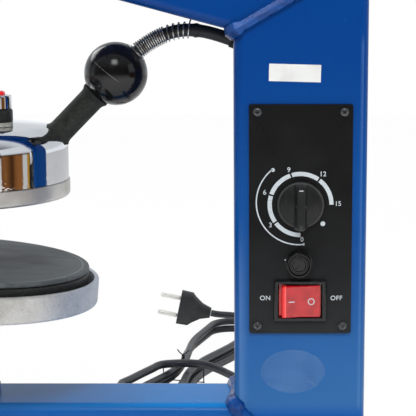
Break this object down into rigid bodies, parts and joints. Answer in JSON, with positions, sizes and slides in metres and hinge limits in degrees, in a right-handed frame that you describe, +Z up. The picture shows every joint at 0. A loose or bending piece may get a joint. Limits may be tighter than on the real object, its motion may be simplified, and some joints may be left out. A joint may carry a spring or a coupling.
{
  "type": "tire vulcanizer",
  "caption": "Bench-top tire vulcanizer: C-shaped frame with a screw-driven heated head over a tilting heated platen, timer panel on the column, and a mains lead with plug.",
  "frame": {"origin": "centre of the frame's outline at the level of the table, under the feet", "axes": "+Z up, +X from the press screw towards the column, -Y out of the control panel towards the user"},
  "size_m": [0.3318, 0.626, 0.5098],
  "materials": {
    "aluminium": "cast and machined, satin",
    "black_coating": "matt black coating",
    "black_plastic": "gloss black",
    "black_rubber": "matt",
    "blue_paint": "gloss",
    "bright_steel": "satin",
    "bronze": "machined",
    "chrome": "polished",
    "cord_black": "matt black sheath",
    "dark_steel": "dark, machined",
    "glass": "clear",
    "grey_washer": "matt grey",
    "insulation": "matt, pale",
    "nickel": "nickel plated",
    "red_plastic": "translucent red"
  },
  "bodies": {
    "frame": {"arm_end_cap": "blue_paint", "arm_tube": "blue_paint", "arm_weld": "blue_paint", "base_end_cap": "blue_paint", "base_tube": "blue_paint", "base_weld": "blue_paint", "column_tube": "blue_paint", "cord_gland": "black_rubber", "cord_hank": "cord_black", "foot_left": "blue_paint", "foot_right": "blue_paint", "fuse_holder": "black_plastic", "hank_tie": "cord_black", "lead_grommet": "black_rubber", "mains_cord": "cord_black", "nut_boss": "blue_paint", "panel_plate": "black_coating", "panel_screw_1": "black_coating", "panel_screw_2": "black_coating", "panel_screw_3": "black_coating", "panel_screw_4": "black_coating", "pedestal": "blue_paint", "plug_body": "black_rubber", "plug_cord": "cord_black", "plug_pin_lower": "nickel", "plug_pin_upper": "nickel", "spindle_nut": "bronze", "switch_housing": "black_plastic", "timer_body": "bright_steel"},
    "head": {"dome_cover": "chrome", "upper_plate": "aluminium", "upper_element": "dark_steel", "insulation_disc": "insulation", "thermostat": "bright_steel", "thrust_spacer": "dark_steel", "swivel_socket": "dark_steel", "lamp_body": "black_plastic", "lamp_bezel": "chrome", "lamp_lens": "red_plastic", "lamp_washer": "grey_washer", "handle_stem": "bright_steel", "handle_sleeve": "black_rubber", "handle_ball": "black_plastic", "lead_collar": "black_plastic", "spring_guard": "bright_steel", "head_lead": "cord_black"},
    "spindle": {"spindle": "bright_steel", "stop_collar": "dark_steel", "cross_bar": "bright_steel", "front_bar_knob": "black_plastic", "back_bar_knob": "black_plastic"},
    "platen": {"platen_seat": "dark_steel", "lower_dish": "aluminium", "lower_plate": "black_coating", "work_pad": "black_rubber", "lower_element": "dark_steel"},
    "timer_knob": {"timer_knob": "black_plastic"},
    "rocker": {"switch_rocker": "red_plastic"},
    "fuse_carrier": {"fuse_link": "glass"},
    "fuse_cap": {"fuse_cap": "black_plastic"}
  },
  "joints": [
    {"name": "head_travel", "type": "slide", "parent": "frame", "child": "head", "axis": [0, 0, 1], "range_m": [-0.0315, 0.008], "deforming": ["head_lead", "spring_guard"]},
    {"name": "spindle_turn", "type": "hinge", "parent": "head", "child": "spindle", "pos_m": [-0.08511, 0, 0], "axis": [0, 0, 1], "range_deg": [-2834.9, 719.9]},
    {"name": "platen_lean", "type": "hinge", "parent": "frame", "child": "platen", "pos_m": [-0.08511, 0, 0.13232], "axis": [-0.2164, 0.9763, 0], "range_deg": [-10.4, 0]},
    {"name": "timer_turn", "type": "hinge", "parent": "frame", "child": "timer_knob", "pos_m": [0.12589, 0, 0.2109], "axis": [0, 1, 0], "range_deg": [-48, 270]},
    {"name": "rocker_tilt", "type": "hinge", "parent": "frame", "child": "rocker", "pos_m": [0.12589, -0.0241, 0.1523], "axis": [0, 0, -1], "range_deg": [0, 14]},
    {"name": "fuse_pull", "type": "slide", "parent": "frame", "child": "fuse_carrier", "axis": [0, -1, 0], "range_m": [0, 0.03]},
    {"name": "fuse_turn", "type": "hinge", "parent": "fuse_carrier", "child": "fuse_cap", "pos_m": [0.12499, 0, 0.1755], "axis": [0, -1, 0], "range_deg": [0, 90]}
  ],
  "couplings": [
    {"joint": "head_travel", "follows": "spindle_turn", "m_per_rad": 0.00063662}
  ]
}
